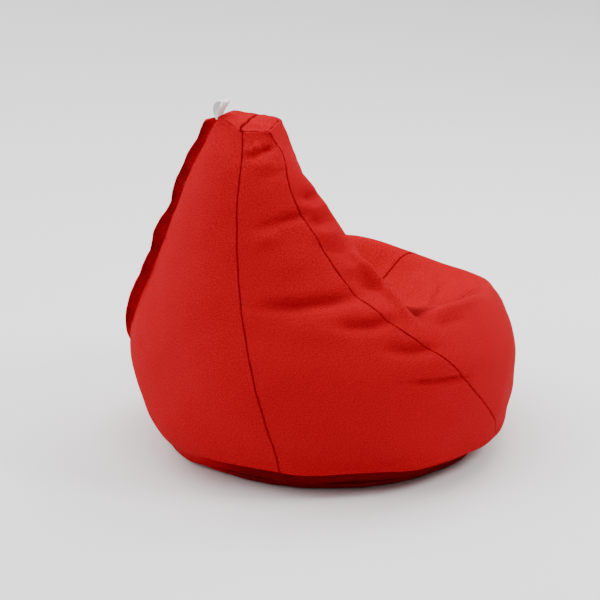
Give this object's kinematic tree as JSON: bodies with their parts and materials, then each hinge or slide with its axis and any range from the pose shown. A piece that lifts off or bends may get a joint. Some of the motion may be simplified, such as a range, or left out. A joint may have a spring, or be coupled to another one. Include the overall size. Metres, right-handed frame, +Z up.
{
  "type": "bean bag chair",
  "caption": "Pear-shaped fabric bean bag chair with a tall back, a pressed-in seat hollow, a six-sided cap, and a zip under a flap.",
  "frame": {"origin": "middle of the flat underside, on the floor", "axes": "+Z up, the sitter faces -Y, the sitter's right is -X"},
  "size_m": [0.871, 0.8954, 0.8218],
  "materials": {
    "red_cover_cloth": "matte",
    "liner_cloth": "matte",
    "foam_beads": "matte",
    "zip_tape": "matte",
    "zip_teeth": "satin",
    "zip_metal": "satin",
    "label_satin": "satin"
  },
  "bodies": {
    "bag": {"cover_panel_back": "red_cover_cloth", "cover_panel_side_right": "red_cover_cloth", "cover_panel_front_right": "red_cover_cloth", "cover_panel_front_centre": "red_cover_cloth", "cover_panel_front_left": "red_cover_cloth", "cover_panel_side_left": "red_cover_cloth", "cap_half_right": "red_cover_cloth", "cap_half_left": "red_cover_cloth", "cover_base": "red_cover_cloth", "zip_flap_top_end": "red_cover_cloth", "zip_flap_tacked_end": "red_cover_cloth", "liner_panel_back": "liner_cloth", "liner_panel_side_right": "liner_cloth", "liner_panel_front_right": "liner_cloth", "liner_panel_front_centre": "liner_cloth", "liner_panel_front_left": "liner_cloth", "liner_panel_side_left": "liner_cloth", "liner_cap": "liner_cloth", "liner_base": "liner_cloth", "bead_filling": "foam_beads", "zip_tape_back_side": "zip_tape", "zip_tape_left_side": "zip_tape", "zip_teeth_back_side": "zip_teeth", "zip_teeth_left_side": "zip_teeth", "zip_top_stop": "zip_metal", "zip_bottom_stop": "zip_metal"},
    "zip_slider": {"zip_slider": "zip_metal"},
    "zip_flap": {"zip_flap": "red_cover_cloth"},
    "loop_label": {"loop_label": "label_satin"}
  },
  "joints": [
    {"name": "zip_slide", "type": "slide", "parent": "bag", "child": "zip_slider", "axis": [0.314, 0.2046, -0.9271], "range_m": [0, 0.204]},
    {"name": "zip_flap_lift", "type": "hinge", "parent": "bag", "child": "zip_flap", "pos_m": [0.1112, 0.30741, 0.64454], "axis": [0.314, 0.2046, -0.9271], "range_deg": [-60, 30]},
    {"name": "loop_label_flip", "type": "hinge", "parent": "bag", "child": "loop_label", "pos_m": [0.0409, 0.26152, 0.7858], "axis": [-0.5, 0.866, 0], "range_deg": [-70, 80], "stiffness_Nm_per_rad": 0.0005}
  ]
}
